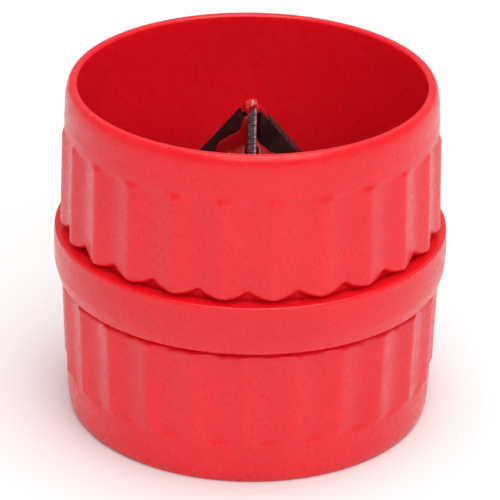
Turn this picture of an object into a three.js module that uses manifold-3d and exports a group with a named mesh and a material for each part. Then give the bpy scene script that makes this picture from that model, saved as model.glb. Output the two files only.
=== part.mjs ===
// Hand deburring tool for pipe ends: a ribbed barrel with three fixed blades across its middle.
// The blades form a cone in the upper cup, for the inside of a pipe, and a funnel in the lower
// cup, for the outside. Millimetres, +Z up. The origin is on the resting face, on the barrel's axis.
import * as THREE from 'three';
import { mergeVertices } from 'three/addons/utils/BufferGeometryUtils.js';
import Module from 'manifold-3d';

const wasm = await Module();
wasm.setup();

// Driving dimensions. "From middle" heights are measured up or down from the barrel's mid-height.
const HEIGHT = 53.3;
const MIDDLE = HEIGHT / 2;
const GAP = 0.3;
const ROUND_STEPS = 96;

const RIB_COUNT = 24;
const RIB_RADIUS = 29.15;
const RIB_DRAFT = 0.0277;
const FLUTE_DEPTH = 0.75;
const UPPER_FLUTE_TURN = -0.4;
const LOWER_FLUTE_TURN = 6.2;
const TONGUE_REACH = 1.3;
const TONGUE_ROUND = 0.45;
const SHOULDER_START = 19.2;
const SHOULDER_END = 20.2;
const SHOULDER_RADIUS = 28.2;

const NECK_RADIUS = 27.2;
const UPPER_NECK_END = 3.95;
const LOWER_NECK_END = 4.75;
const SHELL_START = 1.2;
const LIP_BAND_RADIUS = 28.1;
const LIP_BAND_START = 22.4;
const LIP_CURVE_HEIGHT = 3.4;
const LIP_FLAT_INNER = 26.6;
const LIP_FLAT_OUTER = 27.2;
const MOUTH_RADIUS = 26.24;
const BORE_RADIUS = 25.9;

const RING_RADIUS = 30;
const RING_TOP = 3.65;
const RING_BOTTOM = -4.3;

const BLADE_THICKNESS = 1.3;
const BLADE_INNER = 1.2;
const BLADE_OUTER = 24.4;
const EDGE_SLOPE = 1.25;
const UPPER_EDGE_APEX = 24.4;
const LOWER_EDGE_APEX = 2;
const EDGE_END_RADIUS = 20;
const EDGE_LAND = 0.3;
const RELIEF_ANGLE = 40;
const ARM_SEAT_DEPTH = 1.3;

const POST_RADIUS = 2.2;
const POST_BOTTOM = 1;
const HUB_RADIUS = 6.4;
const HUB_APEX = 18;
const HUB_SLOPE = 1.05;
const SPOKE_CLEARANCE = 6.2;
const SPOKE_WALL = 2;
const SPOKE_END = 25.5;
const FLANGE_HALF_HEIGHT = 0.9;
const FIN_THICKNESS = 0.5;
const FIN_TOP = 21.1;
const TIP_COLUMN_RADIUS = 1.5;

const CAP_RADIUS = 1.2;
const CAP_BOTTOM = 21.7;
const CAP_TOP = 23.7;
const CAP_ARM_THICKNESS = 1;

// Azimuth of each blade, how far out the cap's arm covers it, and whether a fin backs its tip.
// The third of the circle that starts at the front blade has no fin and no tip column.
const BLADES = [
  { name: 'blade_front', azimuth: -90, armReach: 1.25, hasFin: false },
  { name: 'blade_right', azimuth: 30, armReach: 3.1, hasFin: true },
  { name: 'blade_left', azimuth: 150, armReach: 1.9, hasFin: true },
];

const COLOURS = {
  shell: 0xe03038,
  ring: 0xe6343a,
  carrier: 0xb81c24,
  cap: 0xc8303c,
  steel: 0x4a4446,
};

const radians = THREE.MathUtils.degToRad;

// Solids from three.js geometries and back.
function solid(geometry) {
  const bare = geometry.clone();
  bare.deleteAttribute('normal');
  bare.deleteAttribute('uv');
  const merged = mergeVertices(bare, 1e-4);
  const vertProperties = new Float32Array(merged.attributes.position.array);
  const triVerts = new Uint32Array(merged.index.array);
  return new wasm.Manifold(new wasm.Mesh({ numProp: 3, vertProperties, triVerts }));
}

function geometryOf(body) {
  const mesh = body.getMesh();
  const geometry = new THREE.BufferGeometry();
  geometry.setAttribute('position', new THREE.BufferAttribute(mesh.vertProperties, 3));
  geometry.setIndex(new THREE.BufferAttribute(mesh.triVerts, 1));
  geometry.computeVertexNormals();
  return geometry;
}

// A ring or disc turned round the Z axis from [radius, height] points, counter-clockwise.
function turned(points, steps = ROUND_STEPS) {
  const profile = points.map(([radius, height]) => new THREE.Vector2(radius, height));
  const geometry = new THREE.LatheGeometry(profile, steps);
  geometry.rotateX(Math.PI / 2);
  return geometry;
}

function closedRing(points, steps) {
  return turned([...points, points[0]], steps);
}

// A plate standing on the X axis: [radius, height] points, from one side of the X-Z plane to the other.
function plate(points, from, to) {
  const shape = new THREE.Shape(points.map(([radius, height]) => new THREE.Vector2(radius, height)));
  const geometry = new THREE.ExtrudeGeometry(shape, { depth: to - from, bevelEnabled: false });
  geometry.rotateX(Math.PI / 2);
  geometry.translate(0, to, 0);
  return geometry;
}

function turnedTo(geometry, azimuth) {
  return geometry.clone().rotateZ(radians(azimuth));
}

function mesh(name, geometry, colour, roughness, metalness) {
  const material = new THREE.MeshStandardMaterial({ color: colour, roughness, metalness });
  const piece = new THREE.Mesh(geometry, material);
  piece.name = name;
  return piece;
}

// Barrel shells. Both are drawn upward from the joint, and the lower one is turned over. They differ
// only in how far their ribs come down over the neck, because the ring reaches lower than it rises.
// Outside, broad hollow flutes lie between narrow ribs. The ribs end over the neck in round tongues,
// and die out in a smooth shoulder below the lip.
function wallRadius(height, azimuth, neckEnd) {
  const hollow = 0.5 + 0.5 * Math.cos(RIB_COUNT * azimuth);
  const ribbed = RIB_RADIUS - RIB_DRAFT * height - FLUTE_DEPTH * hollow ** 0.7;
  const fade = THREE.MathUtils.smoothstep(height, SHOULDER_START, SHOULDER_END);
  const wall = THREE.MathUtils.lerp(ribbed, SHOULDER_RADIUS, fade);
  const tongueEnd = neckEnd + TONGUE_REACH * hollow ** 2;
  const climb = THREE.MathUtils.clamp((height - tongueEnd) / TONGUE_ROUND, 0, 1);
  return THREE.MathUtils.lerp(NECK_RADIUS, wall, Math.sqrt(1 - (1 - climb) ** 2));
}

function shellProfile(neckEnd) {
  const shoulder = SHOULDER_END - SHOULDER_START;
  const lipCurve = [0, 30, 55, 75, 90].map((turn) => [
    LIP_FLAT_OUTER + (LIP_BAND_RADIUS - LIP_FLAT_OUTER) * Math.cos(radians(turn)),
    MIDDLE - LIP_CURVE_HEIGHT * (1 - Math.sin(radians(turn))),
  ]);
  const tongueRows = [0, 0.2, 0.6, 1.1, 1.5, 1.9].map((rise) => neckEnd + rise);
  const shoulderRows = [0, 0.4, 0.75, 1].map((part) => SHOULDER_START + part * shoulder);
  return [
    [NECK_RADIUS, SHELL_START],
    ...[...tongueRows, 12, ...shoulderRows].map((height) => [RIB_RADIUS, height]),
    [SHOULDER_RADIUS, LIP_BAND_START - 0.4],
    [LIP_BAND_RADIUS, LIP_BAND_START],
    ...lipCurve,
    [LIP_FLAT_INNER, MIDDLE],
    [MOUTH_RADIUS, MIDDLE - 0.4],
    [BORE_RADIUS, SHELL_START],
  ];
}

function shellGeometry(neckEnd) {
  const geometry = closedRing(shellProfile(neckEnd));
  const position = geometry.attributes.position;
  for (let i = 0; i < position.count; i += 1) {
    const x = position.getX(i);
    const y = position.getY(i);
    const radius = Math.hypot(x, y);
    const wall = wallRadius(position.getZ(i), Math.atan2(y, x), neckEnd);
    const scale = Math.min(radius, wall) / radius;
    position.setXY(i, x * scale, y * scale);
  }
  return geometryOf(solid(geometry));
}

function upperShell() {
  const shell = mesh('upper_shell', shellGeometry(UPPER_NECK_END), COLOURS.shell, 0.4, 0);
  shell.rotation.z = radians(UPPER_FLUTE_TURN);
  shell.position.z = MIDDLE;
  return shell;
}

function lowerShell() {
  const shell = mesh('lower_shell', shellGeometry(LOWER_NECK_END), COLOURS.shell, 0.4, 0);
  shell.rotation.set(Math.PI, 0, -radians(LOWER_FLUTE_TURN));
  shell.position.z = MIDDLE;
  return shell;
}

// Smooth band over both necks, slightly crowned and a little narrower at its lower edge.
function gripRing() {
  const bore = NECK_RADIUS + GAP;
  const geometry = closedRing([
    [bore, RING_BOTTOM],
    [RING_RADIUS - 0.85, RING_BOTTOM],
    [RING_RADIUS - 0.45, RING_BOTTOM + 0.35],
    [RING_RADIUS - 0.12, RING_BOTTOM + 2],
    [RING_RADIUS, 0],
    [RING_RADIUS, 1.2],
    [RING_RADIUS - 0.08, RING_TOP - 0.8],
    [RING_RADIUS - 0.3, RING_TOP - 0.15],
    [RING_RADIUS - 0.6, RING_TOP],
    [bore, RING_TOP],
  ]);
  const ring = mesh('grip_ring', geometryOf(solid(geometry)), COLOURS.ring, 0.35, 0);
  ring.position.z = MIDDLE;
  return ring;
}

// Blades. Heights on them are from the barrel's middle, and they stand on the X axis until turned.
function upperEdge(radius) {
  return UPPER_EDGE_APEX - EDGE_SLOPE * radius;
}

function lowerEdge(radius) {
  return LOWER_EDGE_APEX - EDGE_SLOPE * radius;
}

function bladeOutline(armReach, clearance) {
  const c = clearance;
  const inner = BLADE_INNER - c;
  const postSide = POST_RADIUS + GAP - c;
  const outer = BLADE_OUTER + c;
  const step = armReach - c;
  return [
    [postSide, lowerEdge(postSide) - 2 * c],
    [EDGE_END_RADIUS, lowerEdge(EDGE_END_RADIUS) - 2 * c],
    [outer, lowerEdge(EDGE_END_RADIUS) - 2 * c],
    [outer, upperEdge(EDGE_END_RADIUS) + c],
    [EDGE_END_RADIUS + c, upperEdge(EDGE_END_RADIUS) + c],
    [step, upperEdge(step) + c],
    [step, upperEdge(step) - ARM_SEAT_DEPTH + c],
    [inner, upperEdge(BLADE_INNER) - ARM_SEAT_DEPTH + c],
    [inner, HUB_APEX - 6 - c],
    [postSide, HUB_APEX - 8 - c],
  ];
}

// A wedge that grinds one long edge back at the relief angle and leaves a narrow land.
function reliefWedge(edge, facing, side) {
  const half = BLADE_THICKNESS / 2;
  const start = half - EDGE_LAND;
  const drop = (BLADE_THICKNESS - EDGE_LAND) * Math.tan(radians(RELIEF_ANGLE));
  const shape = new THREE.Shape();
  shape.moveTo(start * side, 0);
  shape.lineTo(-half * side, -drop * facing);
  shape.lineTo((-half - 1) * side, -drop * facing);
  shape.lineTo((-half - 1) * side, 2 * facing);
  shape.lineTo(start * side, 2 * facing);
  const slant = Math.atan(EDGE_SLOPE);
  const length = 60;
  const geometry = new THREE.ExtrudeGeometry(shape, { depth: length, bevelEnabled: false });
  geometry.translate(0, 0, -length / 2);
  geometry.applyMatrix4(new THREE.Matrix4().makeBasis(
    new THREE.Vector3(0, 1, 0),
    new THREE.Vector3(Math.sin(slant), 0, Math.cos(slant)),
    new THREE.Vector3(Math.cos(slant), 0, -Math.sin(slant)),
  ));
  geometry.translate(0, 0, edge(0));
  return solid(geometry);
}

function bladeGeometry(armReach) {
  const half = BLADE_THICKNESS / 2;
  const blank = solid(plate(bladeOutline(armReach, 0), -half, half));
  const ground = blank
    .subtract(reliefWedge(upperEdge, 1, 1))
    .subtract(reliefWedge(lowerEdge, -1, -1));
  return geometryOf(ground);
}

function blade({ name, azimuth, armReach }) {
  const piece = mesh(name, bladeGeometry(armReach), COLOURS.steel, 0.35, 0.9);
  piece.rotation.z = radians(azimuth);
  piece.position.z = MIDDLE;
  return piece;
}

// The space a blade needs in the carrier and the cap.
function bladeRoom({ azimuth, armReach }) {
  const half = BLADE_THICKNESS / 2 + GAP;
  return solid(turnedTo(plate(bladeOutline(armReach, GAP), -half, half), azimuth));
}

// Carrier: hub, post and flange turned round the axis, with a slotted spoke and a fin for each blade.
function hubTop(radius) {
  return HUB_APEX - HUB_SLOPE * radius;
}

function spokeBottom(radius) {
  return lowerEdge(radius) + SPOKE_CLEARANCE;
}

function hub() {
  return solid(turned([
    [0, POST_BOTTOM],
    [POST_RADIUS, POST_BOTTOM],
    [POST_RADIUS, spokeBottom(POST_RADIUS)],
    [HUB_RADIUS, spokeBottom(HUB_RADIUS)],
    [HUB_RADIUS, hubTop(HUB_RADIUS)],
    [TIP_COLUMN_RADIUS, hubTop(TIP_COLUMN_RADIUS)],
    [TIP_COLUMN_RADIUS, FIN_TOP - 1],
    [TIP_COLUMN_RADIUS - 0.2, FIN_TOP],
    [0, FIN_TOP],
  ], 48));
}

function flange() {
  return solid(closedRing([
    [BORE_RADIUS - 0.8, -FLANGE_HALF_HEIGHT],
    [NECK_RADIUS, -FLANGE_HALF_HEIGHT],
    [NECK_RADIUS, FLANGE_HALF_HEIGHT],
    [BORE_RADIUS - 0.8, FLANGE_HALF_HEIGHT],
  ]));
}

function spoke(azimuth) {
  const half = BLADE_THICKNESS / 2 + GAP + SPOKE_WALL;
  const levelFrom = (HUB_APEX - FLANGE_HALF_HEIGHT) / HUB_SLOPE;
  const outline = [
    [3, spokeBottom(HUB_RADIUS)],
    [HUB_RADIUS, spokeBottom(HUB_RADIUS)],
    [SPOKE_END - 2.1, spokeBottom(SPOKE_END - 2.1)],
    [SPOKE_END, spokeBottom(SPOKE_END - 2.1)],
    [SPOKE_END, FLANGE_HALF_HEIGHT],
    [levelFrom, FLANGE_HALF_HEIGHT],
    [3, hubTop(3)],
  ];
  return solid(turnedTo(plate(outline, -half, half), azimuth));
}

function fin(azimuth) {
  const near = BLADE_THICKNESS / 2 + GAP;
  const outline = [
    [0.8, 12],
    [HUB_RADIUS - 0.8, hubTop(HUB_RADIUS) - 1],
    [HUB_RADIUS - 0.9, 15.1],
    [HUB_RADIUS - 1.5, 16],
    [3, 17.5],
    [1.6, 18.5],
    [1.2, 19.3],
    [0.9, 20.5],
    [0.8, 20.5],
  ];
  return solid(turnedTo(plate(outline, near, near + FIN_THICKNESS), azimuth));
}

// The tip column's third between the front and right blades, down to the hub's cone.
function openThird() {
  const reach = TIP_COLUMN_RADIUS + 0.7;
  const shape = new THREE.Shape([
    new THREE.Vector2(0, 0),
    ...[-90, -30, 30].map((azimuth) => new THREE.Vector2(
      reach * Math.cos(radians(azimuth)),
      reach * Math.sin(radians(azimuth)),
    )),
  ]);
  const sector = new THREE.ExtrudeGeometry(shape, { depth: FIN_TOP + 1, bevelEnabled: false });
  const cone = turned([[0, 0], [HUB_APEX / HUB_SLOPE, 0], [0, HUB_APEX]], 48);
  return solid(sector).subtract(solid(cone));
}

function bladeCarrier() {
  let body = hub().add(flange());
  for (const { azimuth, hasFin } of BLADES) {
    body = body.add(spoke(azimuth));
    body = hasFin ? body.add(fin(azimuth)) : body;
  }
  body = body.subtract(openThird());
  for (const one of BLADES) {
    body = body.subtract(bladeRoom(one));
  }
  const piece = mesh('blade_carrier', geometryOf(body), COLOURS.carrier, 0.45, 0);
  piece.position.z = MIDDLE;
  return piece;
}

// Cap: a small dome over the tips, with an arm down the seat of each blade that carries its relief on.
function capArm({ azimuth, armReach }) {
  const half = BLADE_THICKNESS / 2;
  const root = 0.8;
  const outline = [
    [root, upperEdge(root) - CAP_ARM_THICKNESS],
    [armReach, upperEdge(armReach) - CAP_ARM_THICKNESS],
    [armReach, upperEdge(armReach)],
    [root, upperEdge(root)],
  ];
  const arm = solid(plate(outline, -half, half)).subtract(reliefWedge(upperEdge, 1, 1));
  return arm.rotate([0, 0, azimuth]);
}

function apexCap() {
  let body = solid(turned([
    [0, CAP_BOTTOM],
    [CAP_RADIUS, CAP_BOTTOM],
    [CAP_RADIUS, CAP_BOTTOM + 0.7],
    [CAP_RADIUS - 0.4, CAP_BOTTOM + 1.5],
    [CAP_RADIUS - 0.8, CAP_TOP - 0.15],
    [0, CAP_TOP],
  ], 36));
  for (const one of BLADES) {
    body = body.add(capArm(one));
  }
  for (const one of BLADES) {
    body = body.subtract(bladeRoom(one));
  }
  const piece = mesh('apex_cap', geometryOf(body), COLOURS.cap, 0.15, 0);
  piece.position.z = MIDDLE;
  return piece;
}

const tool = new THREE.Group();
tool.add(upperShell(), lowerShell(), gripRing(), bladeCarrier(), ...BLADES.map(blade), apexCap());

export default tool;
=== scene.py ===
"""A hand deburring tool for pipe ends, on a pale floor under soft studio light. Metres, +Z up."""
import math

import bmesh
import bpy
import numpy as np
from mathutils import Matrix, Vector


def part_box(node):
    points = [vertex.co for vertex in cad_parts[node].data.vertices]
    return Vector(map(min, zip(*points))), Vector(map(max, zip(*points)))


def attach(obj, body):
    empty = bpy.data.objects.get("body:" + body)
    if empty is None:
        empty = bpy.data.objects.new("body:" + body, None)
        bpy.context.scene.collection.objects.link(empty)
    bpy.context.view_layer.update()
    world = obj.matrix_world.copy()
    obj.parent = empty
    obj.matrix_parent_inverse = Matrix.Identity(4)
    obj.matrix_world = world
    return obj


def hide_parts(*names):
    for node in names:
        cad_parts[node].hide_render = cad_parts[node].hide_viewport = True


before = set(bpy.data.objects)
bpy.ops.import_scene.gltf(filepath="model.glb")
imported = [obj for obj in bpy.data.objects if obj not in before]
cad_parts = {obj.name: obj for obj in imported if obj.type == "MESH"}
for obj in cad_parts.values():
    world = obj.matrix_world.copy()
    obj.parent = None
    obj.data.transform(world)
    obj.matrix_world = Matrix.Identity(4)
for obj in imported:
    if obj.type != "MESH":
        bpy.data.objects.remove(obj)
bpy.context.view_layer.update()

MM = 0.001
BODY = "root"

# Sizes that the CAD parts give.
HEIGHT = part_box("upper_shell")[1].z
MIDDLE = HEIGHT / 2
RING_LOW, RING_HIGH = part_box("grip_ring")
RING_RADIUS = RING_HIGH.x

# The barrel's shape, close to the CAD's. Heights are from the barrel's middle, and a rib's draft is the
# radius that it loses for each unit of height.
RIB_COUNT = 24
RIB_RADIUS = 29.15 * MM
RIB_DRAFT = 0.0277
FLUTE_DEPTH = 0.75 * MM
UPPER_FLUTE_TURN = math.radians(-0.4)
LOWER_FLUTE_TURN = math.radians(6.2)
UPPER_TONGUE_REACH = 1.2 * MM
LOWER_TONGUE_REACH = 0.5 * MM
TONGUE_ROUND = 0.5 * MM
SHOULDER_START = 19.2 * MM
SHOULDER_END = 20.2 * MM
SHOULDER_RADIUS = 28.2 * MM
NECK_RADIUS = 27.2 * MM
UPPER_NECK_END = 3.95 * MM
LOWER_NECK_END = 4.75 * MM
SHELL_START = 1.2 * MM
LIP_BAND_RADIUS = 28.1 * MM
LIP_BAND_START = 22.4 * MM
LIP_CURVE_HEIGHT = 3.4 * MM
LIP_FLAT_OUTER = 27.2 * MM
MOUTH_RADIUS = 26.24 * MM
BORE_RADIUS = 25.9 * MM
LIP_POINTS = 16
LIP_STEP_BELOW = 0.8 * MM
LIP_STEP_ABOVE = 0.2 * MM
LIP_STEP_ROUND = 0.9 * MM
MOUTH_ROUND = 0.4 * MM
EDGE_ROUND = 0.15 * MM
COLUMNS = RIB_COUNT * 20

# How the flutes' hollows and the ribs' round ends are curved, where 0 is a flute's middle and 1 a rib's.
HOLLOW_POWER = 1.4
TONGUE_CURVE_START = 1.05
TONGUE_CURVE_LIMIT = 0.97
TONGUE_CURVE_DEPTH = 0.76

# The ring's outline, from its foot up. Insets are from its full radius.
RING_CLEARANCE = 0.3 * MM
RING_FOOT_INSET = 0.7 * MM
RING_FOOT_ROUND = 0.5 * MM
RING_SIDE_INSET = 0.1 * MM
RING_SIDE_RISE = 2.2 * MM
RING_CROWN_HEIGHT = 0.6 * MM
RING_SIDE_ROUND = 5 * MM
RING_TOP_INSET = 0.12 * MM
RING_TOP_ROUND = 0.4 * MM

# Mesh detail.
PROFILE_SPACING = 0.3 * MM
STEP_RISE = 0.01 * MM
MERGE_DISTANCE = 0.002 * MM
BLADE_BEVEL = 0.04 * MM
BEVEL_SEGMENTS = 2
STRAIGHT_ANGLE = math.radians(89)
FLAT_ANGLE = math.radians(1)
SHARP_ANGLE = math.radians(20)
SHADING_ANGLE = math.radians(30)
CARRIER_VOXEL, CARRIER_ROUNDS = 0.22 * MM, 2
CAP_VOXEL, CAP_ROUNDS = 0.06 * MM, 4

# The blades' azimuths in degrees. Their edges slope down from the axis. A face that looks along the blade's
# thickness at least this much is a broad one, and any other is ground.
BLADES = {"blade_front": -90, "blade_right": 30, "blade_left": 150}
EDGE_SLANT = math.atan(1.25)
BROAD_FACING = 0.97

# Camera: a long lens, so that the perspective is nearly flat. Angles in radians, lens and sensor in mm.
CAMERA_DISTANCE = 489.8 * MM
CAMERA_ELEVATION = 0.4531
CAMERA_TILT_DOWN = 0.00312
CAMERA_ROLL = -0.0165
CAMERA_LENS = 230.3
CAMERA_SENSOR = 36
CAMERA_CLIP = (0.01, 20)
CAMERA_RISE = 0.15 * MM

# Floor and light: white surroundings that are darker round one direction, and two soft boxes that face the
# tool. Each box has its place, its width and height in metres and its power in watts.
FLOOR_SIZE = 4
WORLD_LIGHT = 0.42
FRONT_SHADE = 0.25
FRONT_DIRECTION = (0, -0.97, 0.24)
FRONT_FALL_START, FRONT_FALL_END = 0.55, 0.9
SOFT_BOXES = (
    ("key_light", (0.2, -0.95, 0.8), (1.3, 0.8), 8.0),
    ("top_light", (0.1, 0.0, 1.2), (0.9, 0.9), 10.0),
)

# Colours, linear: each material's main one and the one that its clouds, wear or tarnish turn towards.
PAPER = (0.93, 0.93, 0.93)
SHELL_RED, SHELL_DEEP = (0.85, 0.006, 0.017), (0.79, 0.005, 0.014)
RING_RED, RING_DEEP = (0.83, 0.006, 0.016), (0.77, 0.005, 0.013)
# The carrier's two reds are the shell's red darkened to about half: painted shade for its place deep in the
# bore.
CARRIER_RED_PAINTED_SHADE, CARRIER_DEEP_PAINTED_SHADE = (0.42, 0.006, 0.011), (0.34, 0.005, 0.009)
CAP_RED, CAP_DEEP = (0.55, 0.012, 0.025), (0.48, 0.010, 0.020)
OXIDE, OXIDE_WORN = (0.020, 0.015, 0.015), (0.05, 0.035, 0.035)
# The ground steel's pink tint is a painted reflection of the red barrel; its grey and its tarnish are its
# own.
GROUND_PAINTED_RED_REFLECTION, GROUND_TARNISH_PAINTED_RED_REFLECTION = (0.24, 0.16, 0.17), (0.06, 0.035, 0.038)


def link(name, data):
    """A new object in the scene, from a mesh, a light or a camera."""
    made = bpy.data.objects.new(name, data)
    bpy.context.scene.collection.objects.link(made)
    return made


def declare(piece, node):
    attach(piece, BODY)
    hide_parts(node)


def grid_mesh(name, rings):
    """A closed solid from rings of points, each ring closed and the last joined to the first."""
    rows, columns = rings.shape[:2]
    index = np.arange(rows * columns).reshape(rows, columns)
    below = np.roll(index, -1, axis=0)
    quads = np.stack([index, np.roll(index, -1, axis=1), np.roll(below, -1, axis=1), below], axis=-1)
    quads = quads.reshape(-1, 4)
    mesh = bpy.data.meshes.new(name)
    mesh.vertices.add(rows * columns)
    mesh.vertices.foreach_set("co", rings.reshape(-1).astype(np.float32))
    mesh.loops.add(quads.size)
    mesh.loops.foreach_set("vertex_index", quads.reshape(-1).astype(np.int32))
    mesh.polygons.add(len(quads))
    mesh.polygons.foreach_set("loop_start", np.arange(0, quads.size, 4, dtype=np.int32))
    mesh.update(calc_edges=True)
    mesh.validate()
    mesh.shade_smooth()
    return mesh


def rounded_profile(corners):
    """Points along a closed outline of (radius, height, corner radius) corners, with each corner an arc.
    The arcs' points are twice as close as the straight stretches'."""
    count = len(corners)
    points = []
    for i, (radius, height, bend) in enumerate(corners):
        here = np.array([radius, height])
        before = np.array(corners[i - 1][:2]) - here
        after = np.array(corners[(i + 1) % count][:2]) - here
        a, b = before / np.linalg.norm(before), after / np.linalg.norm(after)
        half_angle = math.acos(np.clip(a @ b, -1, 1)) / 2
        if bend <= 0 or half_angle > STRAIGHT_ANGLE:
            points.append(here)
            continue
        reach = bend / math.tan(half_angle)
        centre = here + (a + b) / np.linalg.norm(a + b) * bend / math.sin(half_angle)
        start, end = here + a * reach - centre, here + b * reach - centre
        turn = math.acos(np.clip(start @ end / bend**2, -1, 1))
        steps = max(3, int(turn * bend / (PROFILE_SPACING * 0.5)))
        for k in range(steps + 1):
            t = k / steps
            mix = (math.sin((1 - t) * turn) * start + math.sin(t * turn) * end) / math.sin(turn)
            points.append(centre + mix)
    dense = []
    for p, q in zip(points, points[1:] + points[:1]):
        parts = max(1, int(np.linalg.norm(q - p) / PROFILE_SPACING))
        dense += [p + (q - p) * k / parts for k in range(parts)]
    return np.array(dense)


def round_azimuths():
    return np.linspace(0, 2 * math.pi, COLUMNS, endpoint=False)[None, :]


def rings_from(profile, azimuth):
    """Points in space from (radius, height) pairs, each at its column's azimuth."""
    radius, height = profile[..., 0], profile[..., 1]
    return np.stack([radius * np.cos(azimuth), radius * np.sin(azimuth), height], axis=-1)


def smooth_step(value, start, end):
    t = np.clip((value - start) / (end - start), 0, 1)
    return t * t * (3 - 2 * t)


def wall_radius(azimuth, height, neck_end, reach):
    """Radius of the ribbed wall: broad hollow flutes between narrow ribs, which end over the neck in
    round tongues and die out in a smooth shoulder below the lip."""
    pitch = 2 * math.pi / RIB_COUNT
    across = 2 * np.abs((azimuth / pitch + 0.5) % 1.0 - 0.5)
    hollow = np.cos(across * math.pi / 2) ** HOLLOW_POWER
    ribbed = RIB_RADIUS - RIB_DRAFT * height - FLUTE_DEPTH * hollow
    wall = ribbed + (SHOULDER_RADIUS - ribbed) * smooth_step(height, SHOULDER_START, SHOULDER_END)
    notch = 1 - np.sqrt(1 - np.clip(TONGUE_CURVE_START - across, 0, TONGUE_CURVE_LIMIT) ** 2)
    tongue_end = neck_end + reach * notch / TONGUE_CURVE_DEPTH
    climb = np.clip((height - tongue_end) / TONGUE_ROUND, 0, 1)
    return NECK_RADIUS + (wall - NECK_RADIUS) * np.sqrt(1 - (1 - climb) ** 2)


def lip_curve():
    """The lip's outer corner, a quarter of an ellipse up to the flat top."""
    width = LIP_BAND_RADIUS - LIP_FLAT_OUTER
    return [
        (LIP_FLAT_OUTER + width * math.cos(t), MIDDLE - LIP_CURVE_HEIGHT * (1 - math.sin(t)), 0)
        for t in np.linspace(0, math.pi / 2, LIP_POINTS)
    ]


def shell_mesh(name, turn, neck_end, reach):
    """One half of the barrel, its lip upwards, about the barrel's middle."""
    outline = rounded_profile([
        (NECK_RADIUS, SHELL_START, EDGE_ROUND),
        (NECK_RADIUS, neck_end, 0),
        (RIB_RADIUS, neck_end + STEP_RISE, 0),
        (RIB_RADIUS, SHOULDER_END, 0),
        (SHOULDER_RADIUS, SHOULDER_END + STEP_RISE, 0),
        (SHOULDER_RADIUS, LIP_BAND_START - LIP_STEP_BELOW, LIP_STEP_ROUND),
        (LIP_BAND_RADIUS, LIP_BAND_START + LIP_STEP_ABOVE, LIP_STEP_ROUND),
        *lip_curve(),
        (MOUTH_RADIUS, MIDDLE, MOUTH_ROUND),
        (BORE_RADIUS, SHELL_START, EDGE_ROUND),
    ])
    azimuth = round_azimuths()
    profile = np.repeat(outline[:, None, :], COLUMNS, axis=1)
    radius, height = profile[..., 0], profile[..., 1]
    outside = radius > (NECK_RADIUS + BORE_RADIUS) / 2
    ribbed = outside & (height >= neck_end) & (height <= SHOULDER_END + 2 * STEP_RISE)
    wall = np.minimum(radius, wall_radius(azimuth, height, neck_end, reach))
    profile[..., 0] = np.where(ribbed, wall, radius)
    return grid_mesh(name, rings_from(profile, azimuth - math.pi / 2 + turn))


def make_camera():
    data = bpy.data.cameras.new("camera")
    data.lens = CAMERA_LENS
    data.sensor_width = CAMERA_SENSOR
    data.clip_start, data.clip_end = CAMERA_CLIP
    height = MIDDLE + CAMERA_RISE + CAMERA_DISTANCE * math.sin(CAMERA_ELEVATION)
    place = Vector((0, -CAMERA_DISTANCE * math.cos(CAMERA_ELEVATION), height))
    pitch = CAMERA_ELEVATION + CAMERA_TILT_DOWN
    forward = Vector((0, math.cos(pitch), -math.sin(pitch)))
    right = Matrix.Rotation(CAMERA_ROLL, 3, forward) @ Vector((1, 0, 0))
    up = right.cross(forward)
    facing = Matrix((right, up, -forward)).transposed().to_4x4()
    camera = link("camera", data)
    camera.matrix_world = Matrix.Translation(place) @ facing
    bpy.context.scene.camera = camera


class Nodes:
    """A new material, and short calls for the nodes that feed its shader."""

    def __init__(self, name, colour, roughness, **sockets):
        self.material = bpy.data.materials.new(name)
        self.material.use_nodes = True
        self.tree = self.material.node_tree
        self.shader = self.tree.nodes["Principled BSDF"]
        self.space = self.tree.nodes.new("ShaderNodeTexCoord").outputs["Object"]
        self.set("Base Color", (*colour, 1))
        self.set("Roughness", roughness)
        for socket, value in sockets.items():
            self.set(socket.replace("_", " "), value)

    def set(self, socket, value):
        self.shader.inputs[socket].default_value = value

    def feed(self, socket, source):
        self.tree.links.new(source, self.shader.inputs[socket])

    def stretched(self, scale, tilt=0.0):
        """Object coordinates turned about Y by tilt and scaled by a number for each axis."""
        turn = self.tree.nodes.new("ShaderNodeVectorRotate")
        turn.rotation_type = "Y_AXIS"
        turn.inputs["Angle"].default_value = tilt
        self.tree.links.new(self.space, turn.inputs["Vector"])
        grow = self.tree.nodes.new("ShaderNodeVectorMath")
        grow.operation = "MULTIPLY"
        grow.inputs[1].default_value = scale
        self.tree.links.new(turn.outputs[0], grow.inputs[0])
        return grow.outputs[0]

    def noise(self, scale, detail=4.0, where=None, rough=0.55):
        """Noise with about this many cells to the metre, or to the unit of where."""
        node = self.tree.nodes.new("ShaderNodeTexNoise")
        node.inputs["Scale"].default_value = scale
        node.inputs["Detail"].default_value = detail
        node.inputs["Roughness"].default_value = rough
        self.tree.links.new(where or self.space, node.inputs["Vector"])
        return node.outputs["Fac"]

    def ramp(self, source, low, high, start=0.35, end=0.65):
        """source between start and end, mapped to low and high."""
        node = self.tree.nodes.new("ShaderNodeMapRange")
        for socket, value in zip(("From Min", "From Max", "To Min", "To Max"), (start, end, low, high)):
            node.inputs[socket].default_value = value
        self.tree.links.new(source, node.inputs["Value"])
        return node.outputs["Result"]

    def blend(self, amount, first, second):
        node = self.tree.nodes.new("ShaderNodeMix")
        node.data_type = "RGBA"
        self.tree.links.new(amount, node.inputs["Factor"])
        node.inputs["A"].default_value = (*first, 1)
        node.inputs["B"].default_value = (*second, 1)
        return node.outputs["Result"]

    def bump(self, *layers):
        """Height sources, each with its depth in metres, one on top of another."""
        normal = None
        for source, depth in layers:
            node = self.tree.nodes.new("ShaderNodeBump")
            node.inputs["Distance"].default_value = depth
            self.tree.links.new(source, node.inputs["Height"])
            if normal:
                self.tree.links.new(normal, node.inputs["Normal"])
            normal = node.outputs["Normal"]
        self.feed("Normal", normal)


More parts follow.
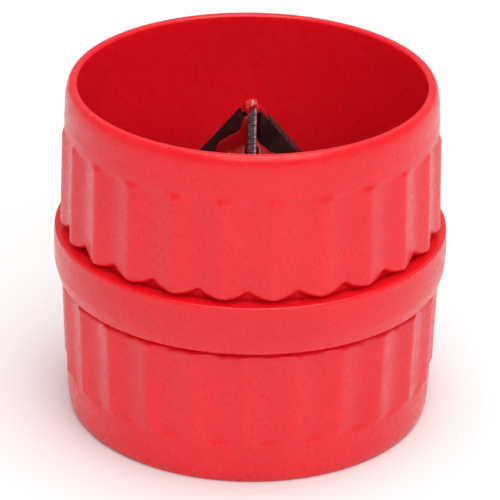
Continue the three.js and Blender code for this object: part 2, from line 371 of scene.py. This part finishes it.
def moulded_plastic(name, colour, deep, roughness, **sockets):
    """Glossy moulded plastic: cloudy colour, fine texture, slight sink marks and faint handling rubs."""
    nodes = Nodes(name, colour, roughness, **sockets)
    clouds = nodes.noise(scale=60, detail=3)
    nodes.feed("Base Color", nodes.blend(nodes.ramp(clouds, 0, 1), colour, deep))
    rubs = nodes.noise(scale=500, detail=5, rough=0.7)
    nodes.feed("Roughness", nodes.ramp(rubs, roughness - 0.05, roughness + 0.09))
    nodes.set("Subsurface Weight", 0.5)
    nodes.set("Subsurface Radius", (1, 0.12, 0.1))
    nodes.set("Subsurface Scale", 3 * MM)
    texture = nodes.noise(scale=7000, detail=2)
    sinks = nodes.noise(scale=220, detail=2)
    nodes.bump((texture, 0.004 * MM), (sinks, 0.05 * MM))
    return nodes.material


def oxide_steel():
    """Blackened blade face: mottled oxide over rolled steel, with fine rolling lines."""
    nodes = Nodes("oxide_steel", OXIDE, 0.36, Metallic=0.55)
    mottle = nodes.noise(scale=420, detail=6, rough=0.65)
    nodes.feed("Base Color", nodes.blend(nodes.ramp(mottle, 0, 1), OXIDE, OXIDE_WORN))
    nodes.feed("Roughness", nodes.ramp(mottle, 0.28, 0.5))
    rolling = nodes.noise(scale=1, detail=4, where=nodes.stretched((500, 500, 9000)))
    nodes.bump((rolling, 0.004 * MM), (mottle, 0.01 * MM))
    return nodes.material


def ground_steel():
    """Ground steel: the wheel's marks across the blade's edge, with tarnish between them. Both colours are
    tinted pink as a painted reflection of the red barrel round the blades.
    """
    nodes = Nodes("ground_steel", GROUND_PAINTED_RED_REFLECTION, 0.34, Metallic=0.85)
    along_edge = nodes.stretched((3800, 400, 400), tilt=-EDGE_SLANT)
    marks = nodes.noise(scale=1, detail=5, where=along_edge, rough=0.6)
    stain = nodes.noise(scale=350, detail=4)
    sharp_marks = nodes.ramp(marks, 0, 1, start=0.42, end=0.58)
    nodes.feed("Base Color", nodes.blend(sharp_marks, GROUND_PAINTED_RED_REFLECTION, GROUND_TARNISH_PAINTED_RED_REFLECTION))
    nodes.feed("Roughness", nodes.ramp(stain, 0.26, 0.46))
    nodes.bump((marks, 0.02 * MM))
    return nodes.material


def shade_the_front(tree):
    """The white surroundings grow darker round FRONT_DIRECTION, as the unlit end of a studio does."""
    direction = tree.nodes.new("ShaderNodeTexCoord").outputs["Generated"]
    toward = tree.nodes.new("ShaderNodeVectorMath")
    toward.operation = "DOT_PRODUCT"
    toward.inputs[1].default_value = FRONT_DIRECTION
    tree.links.new(direction, toward.inputs[0])
    fall = tree.nodes.new("ShaderNodeMapRange")
    fall.interpolation_type = "SMOOTHSTEP"
    limits = (FRONT_FALL_START, FRONT_FALL_END, 1, FRONT_SHADE)
    for socket, value in zip(("From Min", "From Max", "To Min", "To Max"), limits):
        fall.inputs[socket].default_value = value
    tree.links.new(toward.outputs["Value"], fall.inputs["Value"])
    tree.links.new(fall.outputs["Result"], tree.nodes["Background"].inputs["Color"])


def make_floor():
    bpy.ops.mesh.primitive_plane_add(size=FLOOR_SIZE)
    floor = bpy.context.object
    floor.name = "floor"
    paper = Nodes("paper", PAPER, 0.7)
    paper.bump((paper.noise(scale=900, detail=3), 0.01 * MM))
    floor.data.materials.append(paper.material)


def make_light():
    world = bpy.data.worlds.new("studio")
    bpy.context.scene.world = world
    world.use_nodes = True
    world.node_tree.nodes["Background"].inputs["Strength"].default_value = WORLD_LIGHT
    shade_the_front(world.node_tree)
    bpy.context.scene.view_settings.view_transform = "Standard"
    for name, place, size, power in SOFT_BOXES:
        data = bpy.data.lights.new(name, "AREA")
        data.shape = "RECTANGLE"
        data.size, data.size_y = size
        data.energy = power
        lamp = link(name, data)
        lamp.location = place
        toward_tool = Vector((0, 0, MIDDLE)) - lamp.location
        lamp.rotation_euler = toward_tool.to_track_quat("-Z", "Y").to_euler()


def make_shells(plastic):
    for name, node, turn, neck_end, reach, flip in (
        ("upper_barrel", "upper_shell", UPPER_FLUTE_TURN, UPPER_NECK_END, UPPER_TONGUE_REACH, False),
        ("lower_barrel", "lower_shell", -LOWER_FLUTE_TURN, LOWER_NECK_END, LOWER_TONGUE_REACH, True),
    ):
        mesh = shell_mesh(name, turn, neck_end, reach)
        place = Matrix.Translation((0, 0, MIDDLE))
        mesh.transform(place @ Matrix.Rotation(math.pi, 4, "X") if flip else place)
        mesh.materials.append(plastic)
        declare(link(name, mesh), node)


def make_ring(plastic):
    bore = NECK_RADIUS + RING_CLEARANCE
    foot, top = RING_LOW.z - MIDDLE, RING_HIGH.z - MIDDLE
    outline = rounded_profile([
        (bore, foot, EDGE_ROUND),
        (RING_RADIUS - RING_FOOT_INSET, foot, RING_FOOT_ROUND),
        (RING_RADIUS - RING_SIDE_INSET, foot + RING_SIDE_RISE, RING_SIDE_ROUND),
        (RING_RADIUS, RING_CROWN_HEIGHT, RING_SIDE_ROUND),
        (RING_RADIUS - RING_TOP_INSET, top, RING_TOP_ROUND),
        (bore, top, EDGE_ROUND),
    ])
    profile = np.repeat(outline[:, None, :], COLUMNS, axis=1)
    mesh = grid_mesh("ring_band", rings_from(profile, round_azimuths()))
    mesh.transform(Matrix.Translation((0, 0, MIDDLE)))
    mesh.materials.append(plastic)
    declare(link("ring_band", mesh), "grip_ring")


def local_copy(node, name, azimuth):
    """A new piece with a CAD node's mesh, about the barrel's middle, its X axis turned to an azimuth."""
    stand = Matrix.Translation((0, 0, MIDDLE)) @ Matrix.Rotation(math.radians(azimuth), 4, "Z")
    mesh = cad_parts[node].data.copy()
    mesh.name = name
    mesh.materials.clear()
    mesh.transform(stand.inverted())
    piece = link(name, mesh)
    piece.matrix_world = stand
    return piece


def bevel(piece):
    """Flat faces merged, and every sharp edge rounded."""
    work = bmesh.new()
    work.from_mesh(piece.data)
    bmesh.ops.remove_doubles(work, verts=work.verts, dist=MERGE_DISTANCE)
    bmesh.ops.dissolve_limit(work, angle_limit=FLAT_ANGLE, verts=work.verts, edges=work.edges)
    sharp = [e for e in work.edges if e.is_manifold and e.calc_face_angle() > SHARP_ANGLE]
    bmesh.ops.bevel(
        work, geom=sharp, offset=BLADE_BEVEL, segments=BEVEL_SEGMENTS, profile=0.5,
        affect="EDGES", clamp_overlap=True,
    )
    work.to_mesh(piece.data)
    work.free()
    piece.data.shade_smooth()
    piece.data.set_sharp_from_angle(angle=SHADING_ANGLE)


def make_blades(faces, ground):
    for node, azimuth in BLADES.items():
        piece = local_copy(node, node + "_steel", azimuth)
        bevel(piece)
        piece.data.materials.append(faces)
        piece.data.materials.append(ground)
        for face in piece.data.polygons:
            face.material_index = int(abs(face.normal.y) < BROAD_FACING)
        declare(piece, node)


def remesh(piece, voxel, rounds):
    """Turns a piece into one moulded skin, at a voxel size, relaxed so that its corners round over."""
    cover = piece.modifiers.new("skin", "REMESH")
    cover.mode = "VOXEL"
    cover.voxel_size = voxel
    relax = piece.modifiers.new("relax", "SMOOTH")
    relax.factor = 0.5
    relax.iterations = rounds
    depsgraph = bpy.context.evaluated_depsgraph_get()
    mesh = bpy.data.meshes.new_from_object(piece.evaluated_get(depsgraph))
    piece.modifiers.clear()
    piece.data = mesh
    mesh.shade_smooth()


def make_carrier(plastic):
    piece = local_copy("blade_carrier", "carrier_moulding", 0)
    remesh(piece, CARRIER_VOXEL, CARRIER_ROUNDS)
    piece.data.materials.clear()
    piece.data.materials.append(plastic)
    declare(piece, "blade_carrier")


def make_cap(plastic):
    piece = local_copy("apex_cap", "cap_moulding", 0)
    remesh(piece, CAP_VOXEL, CAP_ROUNDS)
    piece.data.materials.clear()
    piece.data.materials.append(plastic)
    declare(piece, "apex_cap")


make_camera()
make_floor()
make_light()
make_shells(moulded_plastic("shell_red", SHELL_RED, SHELL_DEEP, roughness=0.28))
make_ring(moulded_plastic("ring_red", RING_RED, RING_DEEP, roughness=0.28))
# The carrier's colours are painted shade: the red plastic darkened for its place deep in the bore.
make_carrier(moulded_plastic("carrier_red_painted_shade", CARRIER_RED_PAINTED_SHADE, CARRIER_DEEP_PAINTED_SHADE, roughness=0.32))
make_cap(moulded_plastic("cap_red", CAP_RED, CAP_DEEP, roughness=0.12, Coat_Weight=0.5))
make_blades(oxide_steel(), ground_steel())
